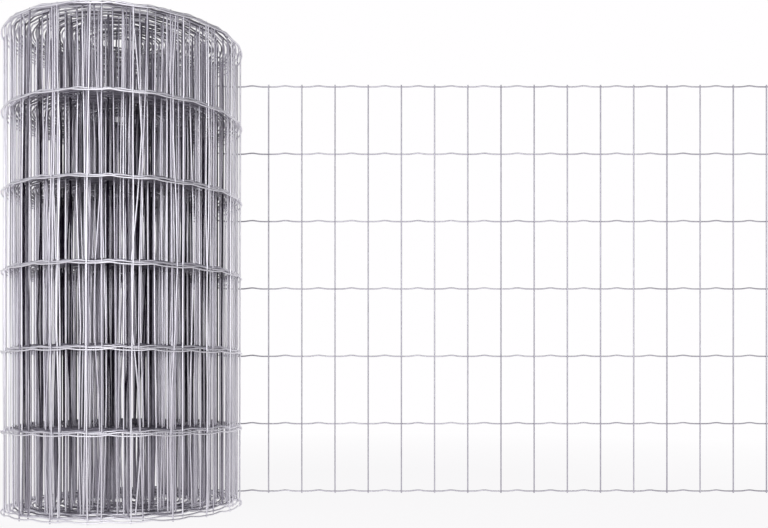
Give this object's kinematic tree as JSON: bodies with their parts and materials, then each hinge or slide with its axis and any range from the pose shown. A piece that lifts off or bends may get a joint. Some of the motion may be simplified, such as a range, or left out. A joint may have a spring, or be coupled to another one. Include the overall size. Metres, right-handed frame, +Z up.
{
  "type": "roll of welded wire fencing",
  "caption": "Standing roll of galvanised welded wire fencing with its free end unrolled flat to one side.",
  "frame": {"origin": "on the roll's axis at the level of the floor it stands on", "axes": "+Z up along the bore, +X along the flat unrolled end away from the roll, +Y towards the side where the mesh leaves the roll"},
  "size_m": [1.076, 0.3057, 0.6146],
  "materials": {
    "galvanised_wire": "drawn steel wire, welded and hot-dip galvanised to a satin grey"
  },
  "bodies": {
    "root": {"wound_roll": "galvanised_wire", "unrolled_end": "galvanised_wire"}
  },
  "joints": []
}
